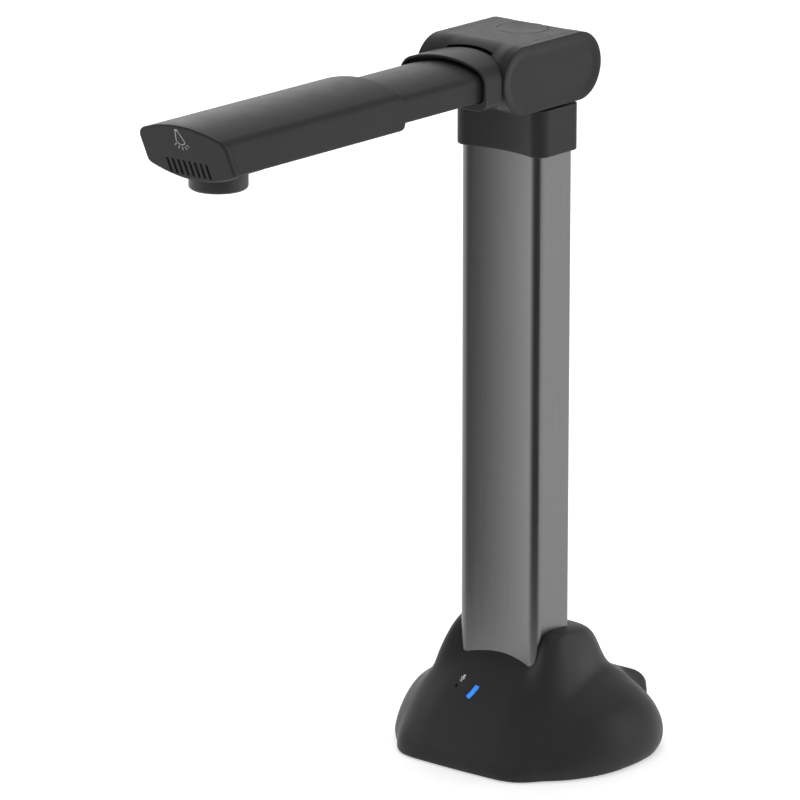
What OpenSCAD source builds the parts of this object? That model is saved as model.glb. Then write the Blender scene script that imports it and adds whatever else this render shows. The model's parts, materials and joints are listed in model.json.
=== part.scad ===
// Folding document camera: weighted base, dished aluminium column, hinged telescopic camera arm.
// Millimetres. Floor at z = 0, column axis on Z, arm reaches towards -Y, mirror plane x = 0.

/* [Column] */
// Column width across the dished face
col_w = 47; // [40:0.5:60]
// Column depth front to back
col_d = 25; // [20:0.5:35]
// Column vertical corner radius
col_r = 4; // [2:0.5:6]
// Depth of the dish in the column face
col_dish = 3; // [1:0.5:4]
// Column wall thickness
col_wall = 2.2; // [1.5:0.1:3]
// Height of the column's lower end above the desk
col_z0 = 8; // [6:0.5:12]
// Height of the column's upper end above the desk
col_z1 = 303; // [250:1:350]

/* [Collar] */
// Lower edge of the collar
collar_z0 = 291.7; // [240:0.1:340]
// Upper face of the collar
collar_z1 = 313; // [260:0.1:360]
// How far the collar stands proud of the column
collar_lip = 1.8; // [1:0.1:3]
// How much further the collar stands proud at its two sides
collar_side = 1; // [0:0.1:2]

/* [Hinge head] */
// Radius of the head's rounded ends
head_r = 16; // [12:0.5:20]
// Hinge axis position along Y
hinge_y = -24; // [-30:0.5:-18]
// Centre of the head's rear rounded end along Y
head_back_y = 13.4; // [8:0.1:20]
// Hinge axis height above the desk
hinge_z = 330.6; // [280:0.1:380]
// Half width of the head over its end caps
head_hw = 26.1; // [20:0.1:30]
// End cap thickness
cap_t = 4.5; // [2:0.1:6]
// How far the end caps stand proud of the housing's rounded front
cap_nose = 1.7; // [0:0.1:2.5]
// Hinge pin radius
pin_r = 3; // [2:0.1:4]
// Radius of the round capture button
button_r = 12; // [8:0.5:14]

/* [Arm] */
// Half width of the camera sleeve
sleeve_hw = 25.2; // [20:0.1:30]
// Underside height of the camera sleeve
sleeve_zb = 322.6; // [280:0.1:380]
// Height of the sleeve's side creases
sleeve_zc = 338.3; // [290:0.1:390]
// Height of the sleeve's bowed crown
sleeve_za = 343.7; // [300:0.1:400]
// Rear end of the camera sleeve
sleeve_y0 = -112; // [-130:0.5:-90]
// Front crown edge of the camera sleeve
sleeve_y1 = -235.2; // [-260:0.1:-200]
// Sleeve wall thickness
sleeve_wall = 2.6; // [2:0.1:3.5]
// Clearance between the inner bar and the sleeve
slide_gap = 0.35; // [0.2:0.05:0.6]
// Front rim of the knuckle's mouth
mouth_y = -54; // [-60:0.5:-48]
// Front end of the inner bar, hidden in the sleeve
bar_y1 = -140; // [-160:0.5:-130]

/* [Camera head] */
// Lens axis distance in front of the column axis
lens_y = -208; // [-230:0.5:-180]
// Outer radius of the lens ring
ring_r = 13.2; // [10:0.1:16]
// Lowest face of the lens ring
ring_z0 = 311; // [290:0.1:330]
// Underside of the lens housing belly
belly_z = 316.8; // [310:0.1:322]
// Backward lean of the front face in degrees
face_lean = 24; // [10:1:35]
// Number of vent slots in the front face
vent_count = 8; // [4:1:12]

/* [Base] */
// Half width of the base at its widest
base_hw = 63.3; // [50:0.1:75]
// Front edge of the base on the desk
base_front = -42; // [-55:0.5:-35]
// Height of the base's saddle behind the column
base_top = 64; // [50:0.5:80]
// Wall thickness of the base shell
base_wall = 2.6; // [2:0.1:4]
// Thickness of the rubber sole
sole_t = 2; // [1:0.5:3]
// Thickness of the base plate
plate_t = 3; // [2:0.5:4]

/* [Hidden] */
// Small overlap used only inside cuts
eps = 0.5;
// Assembly clearance between fixed parts
fit = 0.15;
// Shell housing width between the caps
house_hw = head_hw - cap_t;
// Half width of the slot in the head
slot_hw = 12.8;
// Half width of the arm's hinge tongue
tongue_hw = 10.8;
// Friction disc thickness
disc_t = slot_hw - tongue_hw - 0.1;
// Bar section worked inwards from the sleeve
bar_hw = sleeve_hw - sleeve_wall - slide_gap;
bar_zb = sleeve_zb + sleeve_wall + slide_gap;
bar_zc = sleeve_zc - (sleeve_wall + slide_gap) * 0.8;
bar_za = sleeve_za - sleeve_wall - slide_gap;
// Thickness of the front cap measured square to its face
face_t = 3;
// Top of the base plate
plate_z1 = sole_t + plate_t;
// Base screw places
screw_xy = [[46, -10], [-46, -10], [40, 36], [-40, 36]];
// Column bracket screw places
bracket_xy = [[28, -14], [-28, -14], [28, 16], [-28, 16]];
// Main board post places
board_xy = [[17, 27], [-17, 27], [17, 55], [-17, 55]];
// Sleeve cover screw places
cover_xy = [[19, -213.5], [-19, -213.5], [19, -184], [-19, -184]];

// ---------- shared shapes ----------

// Sweeps a drawing in the (x, z) plane forwards along the arm from y = y_back
module along_arm(y_back, length) {
    translate([0, y_back, 0]) rotate([90, 0, 0]) linear_extrude(height = length) children();
}

// Sweeps a drawing in the (y, z) plane across the width from x = x0
module across(x0, width) {
    translate([x0, 0, 0]) rotate([90, 0, 90]) linear_extrude(height = width) children();
}

// Arm section: flat sides and underside, bowed crown
module bow_section(hw, zb, zc, za) {
    crown_r = (hw * hw + (za - zc) * (za - zc)) / (2 * (za - zc));
    intersection() {
        translate([-hw, zb]) square([2 * hw, za - zb]);
        translate([0, za - crown_r]) circle(r = crown_r, $fn = 360);
    }
}

// Head outline in the (y, z) plane
module head_outline(r) {
    translate([hinge_y, hinge_z]) circle(r = r, $fn = 120);
    translate([head_back_y, hinge_z]) circle(r = r, $fn = 120);
    translate([hinge_y, hinge_z - r]) square([head_back_y - hinge_y, 2 * r]);
}

// End cap outline in the (y, z) plane, a little longer than the housing
module cap_outline(r) {
    translate([hinge_y - cap_nose, hinge_z]) circle(r = r, $fn = 120);
    translate([head_back_y + 0.6, hinge_z]) circle(r = r, $fn = 120);
    translate([hinge_y - cap_nose, hinge_z - r]) square([head_back_y + 0.6 - hinge_y + cap_nose, 2 * r]);
}

// Rectangle with rounded corners
module round_rect(w, d, r) {
    translate([-w / 2 + r, -d / 2]) square([w - 2 * r, d]);
    translate([-w / 2, -d / 2 + r]) square([w, d - 2 * r]);
    for (sx = [-1, 1])
        for (sy = [-1, 1])
            translate([sx * (w / 2 - r), sy * (d / 2 - r)]) circle(r = r, $fn = 64);
}

// Column outline grown by g, and by w more at the sides, with its dished front
module column_outline(g, w = 0) {
    half = col_w / 2 - col_r;
    dish_r = (half * half + col_dish * col_dish) / (2 * col_dish);
    difference() {
        round_rect(col_w + 2 * g + 2 * w, col_d + 2 * g, col_r + g);
        translate([0, -col_d / 2 - g - dish_r + col_dish]) circle(r = dish_r, $fn = 240);
    }
}

// Opening inside the column, shrunk by g
module column_hollow(g) {
    front = -col_d / 2 + col_dish + col_wall;
    back = col_d / 2 - col_wall;
    translate([-col_w / 2 + col_wall + g, front + g])
        square([col_w - 2 * col_wall - 2 * g, back - front - 2 * g]);
}

// Base footprint
module footprint() {
    polygon([[-28, base_front], [28, base_front], [34.7, -38.1], [42.9, -33.4], [50, -27.2],
             [55.8, -19.2], [59.9, -10.6], [62.5, 0], [base_hw, 9], [62.7, 22], [60.2, 33], [55.6, 43],
             [48.2, 52], [37.5, 60], [23.5, 65.6], [0, 68], [-23.5, 65.6], [-37.5, 60], [-48.2, 52],
             [-55.6, 43], [-60.2, 33], [-62.7, 22], [-base_hw, 9], [-62.5, 0], [-59.9, -10.6],
             [-55.8, -19.2], [-50, -27.2], [-42.9, -33.4], [-34.7, -38.1]]);
}

// Thin slice of a drawing at height z
module slice(z) {
    translate([0, 0, z]) linear_extrude(height = 0.4) children();
}

// Low rounded lobes of the base, shrunk inwards by g
module lobes(g) {
    hull() {
        slice(1 - g) offset(delta = -1.4 - g) footprint();
        slice(3.6) offset(delta = -g) footprint();
        slice(9) offset(delta = -0.7 - g) footprint();
        slice(16) offset(delta = -3 - g) footprint();
        slice(24 - g * 0.5) offset(delta = -7 - g) footprint();
        slice(30 - g) offset(delta = -12.5 - g) footprint();
        slice(34.4 - g) offset(delta = -20 - g) footprint();
        slice(36.4 - g) offset(delta = -28 - g) footprint();
    }
}

// Four-sided trunk slice: half widths and ends
module trunk_slice(z, hw_front, y_front, hw_back, y_back, nose) {
    slice(z) polygon([[-hw_front, y_front], [-hw_front * 0.5, y_front - nose],
                      [hw_front * 0.5, y_front - nose], [hw_front, y_front], [hw_front + 1, 0],
                      [hw_back, y_back - 6], [hw_back - 5, y_back], [-hw_back + 5, y_back],
                      [-hw_back, y_back - 6], [-hw_front - 1, 0]]);
}

// Trunk that carries the column, shrunk inwards by g
module trunk(g) {
    hull() {
        trunk_slice(1 - g, 36 - g, -37 + g, 34 - g, 50 - g, 4.4);
        trunk_slice(12, 35.5 - g, -30.5 + g, 33 - g, 49 - g, 7.5);
        trunk_slice(25, 35 - g, -22.5 + g, 31 - g, 47 - g, 8.5);
        trunk_slice(36 - g, 34.5 - g, -18 + g, 29 - g, 43.5 - g, 5);
        trunk_slice(46 - g, 33 - g, -14.5 + g, 27.5 - g, 39.5 - g, 0);
        trunk_slice(54 - g, 30.5 - g, -11.5 + g, 26 - g, 34.5 - g, 0);
        trunk_slice(60.5 - g, 28 - g, -6.5 + g, 24.5 - g, 27.5 - g, 0);
        trunk_slice(base_top - 0.4 - g, 25.5 - g, 0 + g, 22 - g, 18 - g, 0);
    }
}

// Cable tail behind the trunk, shrunk inwards by g
module tail(g) {
    hull() {
        slice(1 - g) translate([-24 + g, 36]) square([48 - 2 * g, 37 - g]);
        slice(13) translate([-23.5 + g, 36]) square([47 - 2 * g, 39 - g]);
        slice(20 - g) translate([-22 + g, 36]) square([44 - 2 * g, 37 - g]);
        slice(24.5 - g) translate([-20 + g, 36]) square([40 - 2 * g, 32 - g]);
        slice(31 - g) translate([-19 + g, 36]) square([38 - 2 * g, 9 - g]);
    }
}

// Places a piece square to the sloping front panel of the base
module on_panel(x, y, z) {
    translate([x, y, z]) rotate([44, 0, 0]) children();
}

// Sloping cut that lowers the front panel between the cheeks
module panel_dish() {
    translate([0, -12.5, 45.2]) rotate([44, 0, 0]) translate([-24.2, -30, 0]) cube([48.4, 48, 30]);
}

// Countersunk-free pan screw pointing up: head below, shank above
module pan_screw(head_r, head_h, shank_r, shank_h) {
    cylinder(r = head_r, h = head_h, $fn = 40);
    translate([0, 0, head_h]) cylinder(r = shank_r, h = shank_h, $fn = 32);
}

// ---------- base ----------

module rubber_sole() {
    color([0.05, 0.05, 0.05]) difference() {
        linear_extrude(height = sole_t) offset(delta = -6) footprint();
        for (p = screw_xy) translate([p[0], p[1], -eps]) cylinder(r = 3.8, h = sole_t + 2 * eps, $fn = 40);
    }
}

module base_plate() {
    color([0.1, 0.1, 0.1]) difference() {
        translate([0, 0, sole_t]) linear_extrude(height = plate_t)
            offset(delta = -base_wall - 0.8) footprint();
        for (p = screw_xy) translate([p[0], p[1], sole_t - eps]) {
            cylinder(r = 3.5, h = eps + 1.6, $fn = 40);
            cylinder(r = 1.7, h = plate_t + 2 * eps, $fn = 32);
        }
        for (p = bracket_xy) translate([p[0], p[1], sole_t - eps]) {
            cylinder(r = 3.2, h = eps + 1.6, $fn = 40);
            cylinder(r = 1.6, h = plate_t + 2 * eps, $fn = 32);
        }
    }
}

module base_screws() {
    color([0.6, 0.6, 0.62])
        for (p = screw_xy) translate([p[0], p[1], sole_t]) pan_screw(3.2, 1.6, 1.4, 12);
}

module base_shell() {
    color([0.1, 0.1, 0.1]) difference() {
        union() {
            lobes(0);
            trunk(0);
            tail(0);
        }
        // hollow inside, leaving the screw posts
        difference() {
            union() {
                lobes(base_wall);
                trunk(base_wall);
                tail(base_wall);
            }
            for (p = screw_xy) translate([p[0], p[1], plate_z1]) cylinder(r = 4, h = 40, $fn = 40);
        }
        // dished approach to the column
        panel_dish();
        // opening for the column
        translate([0, 0, 30]) linear_extrude(height = 40) column_outline(fit);
        // screw pilot holes
        for (p = screw_xy) translate([p[0], p[1], plate_z1 - eps]) cylinder(r = 1.4, h = 13, $fn = 32);
        // USB port window in the tail
        translate([-6.2, 66, 9.4]) cube([12.4, 12, 6.8]);
        // status light slot and microphone hole
        on_panel(-2.7, -26.4, 33.6) translate([-1.3, -4, -8]) cube([2.6, 8, 16]);
        on_panel(-13.6, -24, 34) cylinder(r = 0.8, h = 16, center = true, $fn = 32);
    }
}

module ballast_weights() {
    color([0.35, 0.35, 0.36])
        for (s = [-1, 1]) translate([s * 45, 13, plate_z1]) linear_extrude(height = 13) round_rect(14, 32, 3);
}

module column_bracket() {
    color([0.7, 0.7, 0.72]) difference() {
        union() {
            translate([-34, -20, plate_z1]) cube([68, 42, 3]);
            translate([0, 0, plate_z1]) linear_extrude(height = 27) column_hollow(fit);
        }
        translate([-12, -2, plate_z1 - eps]) cube([24, 8, 30]);
        for (p = bracket_xy) translate([p[0], p[1], plate_z1 - eps]) cylinder(r = 1.3, h = 4, $fn = 32);
    }
}

module bracket_screws() {
    color([0.6, 0.6, 0.62])
        for (p = bracket_xy) translate([p[0], p[1], sole_t]) pan_screw(2.9, 1.6, 1.3, 4.4);
}

module main_board() {
    color([0.1, 0.35, 0.16]) difference() {
        translate([-21, 24, 8]) cube([42, 46, 1.6]);
        for (p = board_xy) translate([p[0], p[1], 7]) cylinder(r = 1.3, h = 4, $fn = 32);
    }
}

module board_screws() {
    color([0.6, 0.6, 0.62])
        for (p = board_xy) translate([p[0], p[1], plate_z1]) {
            difference() {
                cylinder(r = 2.4, h = 3, $fn = 32);
                translate([0, 0, -eps]) cylinder(r = 0.6, h = 2, $fn = 32);
            }
            cylinder(r = 1.2, h = 5, $fn = 32);
            translate([0, 0, 4.6]) cylinder(r = 2.3, h = 1.4, $fn = 32);
        }
}

module usb_port() {
    color([0.7, 0.7, 0.72]) difference() {
        translate([-6, 60, 9.6]) cube([12, 13, 6.4]);
        translate([-5.2, 64, 10.4]) cube([10.4, 10, 4.8]);
    }
}

module status_light() {
    color([0.1, 0.5, 0.95]) on_panel(-2.7, -26.4, 33.6) translate([-1.15, -3.85, -3.2]) cube([2.3, 7.7, 3.4]);
}

module microphone() {
    color([0.65, 0.65, 0.66]) on_panel(-13.6, -24, 34) translate([0, 0, -6.4]) cylinder(r = 2.2, h = 2, $fn = 32);
}

// ---------- column ----------

module column() {
    color([0.3, 0.3, 0.31]) difference() {
        translate([0, 0, col_z0]) linear_extrude(height = col_z1 - col_z0) column_outline(0);
        translate([0, 0, col_z0 - eps]) linear_extrude(height = col_z1 - col_z0 + 2 * eps) column_hollow(0);
    }
}

module column_cable() {
    color([0.08, 0.08, 0.08]) translate([-7, 1, 10]) cube([14, 1.2, 314]);
}

module column_collar() {
    color([0.1, 0.1, 0.1]) difference() {
        union() {
            difference() {
                translate([0, 0, collar_z0]) linear_extrude(height = collar_z1 - collar_z0)
                    column_outline(collar_lip, collar_side);
                translate([0, 0, collar_z0 - eps]) linear_extrude(height = col_z1 - collar_z0 + eps)
                    column_outline(fit);
            }
            translate([0, 0, 284]) linear_extrude(height = col_z1 - 284) column_hollow(0.25);
            translate([-20, -7, collar_z1]) cube([40, 18, 1.6]);
            translate([-15, -5, collar_z1]) cube([30, 14, 7]);
        }
        translate([-10, -1, 280]) cube([20, 6, 45]);
    }
}

// ---------- hinge head ----------

module head_housing() {
    color([0.1, 0.1, 0.1]) difference() {
        across(-house_hw, 2 * house_hw) head_outline(head_r);
        // electronics bay behind the hinge, closed by the end caps, leaving the board posts
        difference() {
            across(-house_hw - eps, 2 * house_hw + 2 * eps) intersection() {
                head_outline(head_r - 2.6);
                translate([-7, 300]) square([60, 60]);
            }
            for (sx = [-1, 1])
                for (y = [-2, 14]) translate([sx * 15.5, y, 338]) cylinder(r = 2, h = 8, $fn = 32);
        }
        // slot that the arm's tongue swings in
        translate([-slot_hw, -42, 310]) cube([2 * slot_hw, 18, 33.4]);
        translate([-slot_hw, -25, 310]) cube([2 * slot_hw, 10.4, hinge_z - 310]);
        across(-slot_hw, 2 * slot_hw) translate([hinge_y, hinge_z]) circle(r = 13.4, $fn = 96);
        // pin bore through both cheeks
        across(-house_hw - eps, 2 * house_hw + 2 * eps) translate([hinge_y, hinge_z]) circle(r = pin_r, $fn = 48);
        // seat for the collar's spigot
        translate([-15.2, -5.2, 312]) cube([30.4, 14.4, 8]);
        // round opening for the capture button
        translate([0, 4.5, hinge_z]) cylinder(r = button_r + 0.3, h = 20, $fn = 96);
    }
}

module end_cap(side) {
    color([0.1, 0.1, 0.1]) difference() {
        union() {
            across(side > 0 ? house_hw : -head_hw, cap_t) cap_outline(head_r);
            // snap lip inside the electronics bay
            across(side > 0 ? house_hw - 3 : -house_hw, 3) intersection() {
                difference() {
                    head_outline(head_r - 2.9);
                    head_outline(head_r - 4.3);
                }
                translate([-5, 300]) square([60, 60]);
            }
        }
        // dished outer face inside a raised rim
        across(side > 0 ? head_hw - 0.9 : -head_hw - eps, 0.9 + eps) cap_outline(head_r - 3.2);
    }
}

module hinge_pin() {
    color([0.7, 0.7, 0.72]) across(-house_hw + 0.3, 2 * house_hw - 0.6) translate([hinge_y, hinge_z])
        circle(r = pin_r, $fn = 48);
}

module friction_discs() {
    color([0.7, 0.7, 0.72])
        for (s = [-1, 1]) across(s > 0 ? slot_hw - disc_t : -slot_hw, disc_t) difference() {
            translate([hinge_y, hinge_z]) circle(r = 9, $fn = 72);
            translate([hinge_y, hinge_z]) circle(r = pin_r, $fn = 48);
        }
}

module button_board() {
    color([0.1, 0.35, 0.16]) translate([-18, -5, 336.4]) cube([36, 22, 1.6]);
    color([0.2, 0.2, 0.2]) translate([-3, 1.5, 338]) cube([6, 6, 2.4]);
}

module capture_button() {
    top = hinge_z + head_r;
    color([0.1, 0.1, 0.1]) {
        translate([0, 4.5, top - 2.4]) cylinder(r = button_r, h = 2.4, $fn = 96);
        translate([0, 4.5, top - 5.2]) cylinder(r = 2, h = 3, $fn = 32);
    }
}

// ---------- folding arm ----------

module arm_knuckle() {
    back_y = hinge_y - head_r - 0.35;
    color([0.1, 0.1, 0.1]) difference() {
        union() {
            difference() {
                along_arm(hinge_y, hinge_y - mouth_y)
                    bow_section(sleeve_hw, 320, sleeve_zc, sleeve_za);
                // clears the rounded front of the head
                across(-40, 80) translate([hinge_y, hinge_z]) circle(r = head_r + 0.35, $fn = 120);
                // clears the end caps, which reach further forward
                for (s = [-1, 1]) across(s > 0 ? house_hw - 0.3 : -40, 40 - house_hw + 0.3)
                    translate([hinge_y, hinge_z]) circle(r = head_r + cap_nose + 0.35, $fn = 120);
                // lower rear face set back so the arm can fold
                translate([-40, back_y - cap_nose, 300]) cube([80, 40, hinge_z - 300]);
            }
            // tongue running back to the hinge pin
            across(-tongue_hw, 2 * tongue_hw) translate([hinge_y, hinge_z]) circle(r = 12.6, $fn = 96);
            translate([-tongue_hw, -46, hinge_z - 9]) cube([2 * tongue_hw, 22, 19.5]);
        }
        // socket for the bar, and the wider mouth in front of it
        along_arm(-46, 20) bow_section(bar_hw + fit, bar_zb - fit, bar_zc + fit, bar_za + fit);
        along_arm(-50, 20) bow_section(sleeve_hw - 1.2, 324.4, sleeve_zc - 0.8, sleeve_za - 1.2);
        across(-40, 80) translate([hinge_y, hinge_z]) circle(r = pin_r + 0.05, $fn = 48);
        // cable way
        translate([-5, -48, hinge_z + 4]) cube([10, 12, 3]);
    }
}

module mouth_trim() {
    color([0.02, 0.02, 0.02]) along_arm(-50, 2) difference() {
        bow_section(sleeve_hw - 1.35, 324.6, sleeve_zc - 0.95, sleeve_za - 1.35);
        bow_section(bar_hw + 0.1, bar_zb - 0.1, bar_zc + 0.1, bar_za + 0.1);
    }
}

module arm_bar() {
    color([0.12, 0.12, 0.12]) along_arm(-46, -46 - bar_y1) difference() {
        bow_section(bar_hw, bar_zb, bar_zc, bar_za);
        bow_section(bar_hw - 2, bar_zb + 2, bar_zc - 1.6, bar_za - 2);
    }
}

module arm_cable() {
    color([0.08, 0.08, 0.08]) translate([-6, bar_y1 + 2, 328]) cube([12, -46 - bar_y1 - 2, 1]);
}

// ---------- sliding camera head ----------

module slide_pads() {
    color([0.2, 0.2, 0.2])
        for (s = [-1, 1]) translate([s * 12 - 4, -134, sleeve_zb + 1.1]) cube([8, 18, 1.8]);
}

// Sleeve section with its front cut back to the leaning face
module lean_cut(extra) {
    translate([0, sleeve_y1 + extra, sleeve_za]) rotate([face_lean, 0, 0])
        translate([-60, -80, -80]) cube([120, 80, 160]);
}

module camera_sleeve() {
    color([0.1, 0.1, 0.1]) difference() {
        union() {
            difference() {
                along_arm(sleeve_y0, sleeve_y0 - sleeve_y1)
                    bow_section(sleeve_hw, sleeve_zb, sleeve_zc, sleeve_za);
                // hollow that takes the bar and the camera
                along_arm(sleeve_y0 + eps, sleeve_y0 - sleeve_y1 + 20)
                    bow_section(sleeve_hw - sleeve_wall, sleeve_zb + sleeve_wall,
                                sleeve_zc - sleeve_wall * 0.8, sleeve_za - sleeve_wall);
            }
            // bosses for the cover screws
            for (p = cover_xy) translate([p[0] > 0 ? 16 : -23, p[1] - 3, sleeve_zb + 2.3]) cube([7, 6, 4.6]);
        }
        lean_cut(face_t / cos(face_lean) + 0.3);
        // opening closed by the bottom cover
        translate([-22.8, -240, 310]) cube([45.6, 70, sleeve_zb + 2.3 - 310]);
        translate([-15.8, -240, 310]) cube([31.6, 70, 18]);
        for (p = cover_xy) translate([p[0], p[1], 320]) cylinder(r = 1.1, h = 8, $fn = 32);
        // seats for the slide pads
        for (s = [-1, 1]) translate([s * 12 - 4.1, -134.1, sleeve_zb + 1]) cube([8.2, 18.2, 3]);
    }
}

module front_cap() {
    color([0.1, 0.1, 0.1]) difference() {
        intersection() {
            along_arm(sleeve_y1 + 40, 60) {
                bow_section(sleeve_hw, sleeve_zb, sleeve_zc, sleeve_za);
                mirror([0, 1]) translate([0, -2 * sleeve_zb])
                    bow_section(sleeve_hw, sleeve_zb, sleeve_zb + 0.01, sleeve_zb + 5.8);
            }
            translate([0, sleeve_y1, sleeve_za]) rotate([face_lean, 0, 0])
                translate([-60, 0, -60]) cube([120, face_t, 70]);
        }
        // slanted vent slots
        for (i = [0 : vent_count - 1])
            translate([(i - (vent_count - 1) / 2) * 3.5, sleeve_y1, sleeve_za])
                rotate([face_lean, 0, 0]) translate([-0.75, -4, -26.5]) cube([1.5, 12, 9]);
    }
}

module bottom_cover() {
    color([0.1, 0.1, 0.1]) difference() {
        union() {
            // rests for the lamp board
            for (s = [-1, 1]) translate([s * 14 - 0.8, -190, sleeve_zb + 2]) cube([1.6, 8, 1.4]);
            // flat rear part flush with the sleeve
            translate([-22.6, -221, sleeve_zb]) cube([45.2, 50.8, 2.2]);
            // belly that carries the lens
            intersection() {
                along_arm(-188, 38) mirror([0, 1]) translate([0, -2 * sleeve_zb])
                    bow_section(22.6, sleeve_zb - 0.5, sleeve_zb + 1.2, sleeve_zb + 5.8);
                translate([-40, -221, belly_z]) cube([80, 60, 8]);
            }
        }
        lean_cut(face_t / cos(face_lean) + 0.3);
        translate([0, lens_y, 300]) cylinder(r = 11.05, h = 40, $fn = 96);
        translate([-13, -189.2, 300]) cube([26, 6.4, 40]);
        for (p = cover_xy) translate([p[0], p[1], 300]) {
            cylinder(r = 1.15, h = 40, $fn = 32);
            cylinder(r = 2.3, h = sleeve_zb + 1.2 - 300, $fn = 40);
        }
    }
}

module cover_screws() {
    color([0.6, 0.6, 0.62])
        for (p = cover_xy) translate([p[0], p[1], sleeve_zb + 0.2]) pan_screw(2, 1, 1.1, 4);
}

module camera_board() {
    color([0.1, 0.35, 0.16]) translate([-19, -222, 330]) cube([38, 34, 1.6]);
}

module image_sensor() {
    color([0.15, 0.15, 0.16]) translate([-4, lens_y - 4, 328.6]) cube([8, 8, 1.4]);
}

module lens_barrel() {
    color([0.08, 0.08, 0.08]) translate([0, lens_y, 313.4]) difference() {
        cylinder(r = 11, h = 16.6, $fn = 96);
        translate([0, 0, -eps]) cylinder(r = 6.5, h = 18, $fn = 72);
    }
}

module lens_ring() {
    color([0.08, 0.08, 0.08]) translate([0, lens_y, ring_z0]) difference() {
        union() {
            translate([0, 0, 1]) cylinder(r = ring_r, h = belly_z - ring_z0 - 1.05, $fn = 120);
            cylinder(r1 = ring_r - 1, r2 = ring_r, h = 1, $fn = 120);
        }
        translate([0, 0, -eps]) cylinder(r = 9, h = 4, $fn = 96);
        translate([0, 0, 2.3]) cylinder(r = 11.05, h = 10, $fn = 96);
    }
}

module lens_window() {
    color([0.5, 0.6, 0.65, 0.4]) translate([0, lens_y, 312]) cylinder(r = 8.9, h = 1.2, $fn = 96);
}

module lamp_board() {
    color([0.1, 0.35, 0.16]) translate([-14, -190.2, 326]) cube([28, 8.4, 1.2]);
    color([0.95, 0.9, 0.6])
        for (i = [-2 : 2]) translate([i * 5 - 1.4, -187.4, 325.2]) cube([2.8, 2.8, 0.8]);
}

module lamp_lens() {
    color([0.9, 0.9, 0.9, 0.6]) translate([-12.8, -189, sleeve_zb]) cube([25.6, 6, 2]);
}

module touch_pad() {
    color([0.75, 0.6, 0.3]) translate([0, sleeve_y1, sleeve_za]) rotate([face_lean, 0, 0])
        translate([-6, face_t + 0.1, -13.5]) cube([12, 0.3, 8]);
}

// ---------- parts, one line each ----------

rubber_sole();
base_plate();
base_screws();
base_shell();
ballast_weights();
column_bracket();
bracket_screws();
main_board();
board_screws();
usb_port();
status_light();
microphone();
column();
column_cable();
column_collar();
head_housing();
end_cap(-1);  // end_cap_left
end_cap(1);  // end_cap_right
hinge_pin();
friction_discs();
button_board();
capture_button();
arm_knuckle();
mouth_trim();
arm_bar();
arm_cable();
slide_pads();
camera_sleeve();
front_cap();
bottom_cover();
cover_screws();
camera_board();
image_sensor();
lens_barrel();
lens_ring();
lens_window();
lamp_board();
lamp_lens();
touch_pad();
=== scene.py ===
# Book scanner, a folding document camera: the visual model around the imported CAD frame.
# Millimetres inside the script, metres in Blender. Front is -Y, up is +Z, the arm is mirrored about x = 0.
import json
import math

import bmesh
import bpy
import numpy as np
from mathutils import Matrix, Vector


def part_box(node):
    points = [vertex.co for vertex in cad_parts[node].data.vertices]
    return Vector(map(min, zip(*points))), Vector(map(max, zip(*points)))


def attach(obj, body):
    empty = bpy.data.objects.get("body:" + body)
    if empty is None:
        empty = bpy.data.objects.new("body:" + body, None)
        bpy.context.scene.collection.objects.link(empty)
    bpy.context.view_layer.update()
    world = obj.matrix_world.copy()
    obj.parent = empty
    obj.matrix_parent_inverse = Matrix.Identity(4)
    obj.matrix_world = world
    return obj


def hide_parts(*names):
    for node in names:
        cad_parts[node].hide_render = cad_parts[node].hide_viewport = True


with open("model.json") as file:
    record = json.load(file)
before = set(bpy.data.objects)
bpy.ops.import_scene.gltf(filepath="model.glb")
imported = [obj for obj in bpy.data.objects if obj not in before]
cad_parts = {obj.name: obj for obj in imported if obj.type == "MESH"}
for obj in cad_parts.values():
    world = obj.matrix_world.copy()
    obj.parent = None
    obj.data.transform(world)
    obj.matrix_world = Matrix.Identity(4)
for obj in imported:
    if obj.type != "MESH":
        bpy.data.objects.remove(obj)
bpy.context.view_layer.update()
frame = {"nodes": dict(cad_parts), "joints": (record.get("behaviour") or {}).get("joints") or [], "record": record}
MM = 0.001


def box_mm(node):
    lo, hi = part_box(node)
    return np.array(lo) / MM, np.array(hi) / MM


# ---------- sizes taken from the CAD frame, in millimetres ----------
HINGE = np.array(next(j for j in frame["joints"] if j["name"] == "arm_fold")["pos_m"]) / MM
HINGE_Y, HINGE_Z = HINGE[1], HINGE[2]
head_lo, head_hi = box_mm("head_housing")
cap_lo, cap_hi = box_mm("end_cap_right")
HEAD_R = (head_hi[2] - head_lo[2]) / 2
HEAD_BACK = head_hi[1] - HEAD_R
HOUSE_HW, CAP_X = head_hi[0], cap_hi[0]
sleeve_lo, sleeve_hi = box_mm("camera_sleeve")
face_lo = box_mm("front_cap")[0]
knuckle_lo, knuckle_hi = box_mm("arm_knuckle")
bar_lo, bar_hi = box_mm("arm_bar")
col_lo, col_hi = box_mm("column")
collar_hi = box_mm("column_collar")[1]
ring_lo, ring_hi = box_mm("lens_ring")
shell_lo, shell_hi = box_mm("base_shell")
button_lo, button_hi = box_mm("capture_button")
LEAN = math.radians(24)  # slope of the front cap, away from upright
CROWN_SAG = 5.4  # rise of the arm's bowed crown
SLEEVE_WALL = 2.6
CUT = 0.05  # edge rounding of cutters


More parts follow.
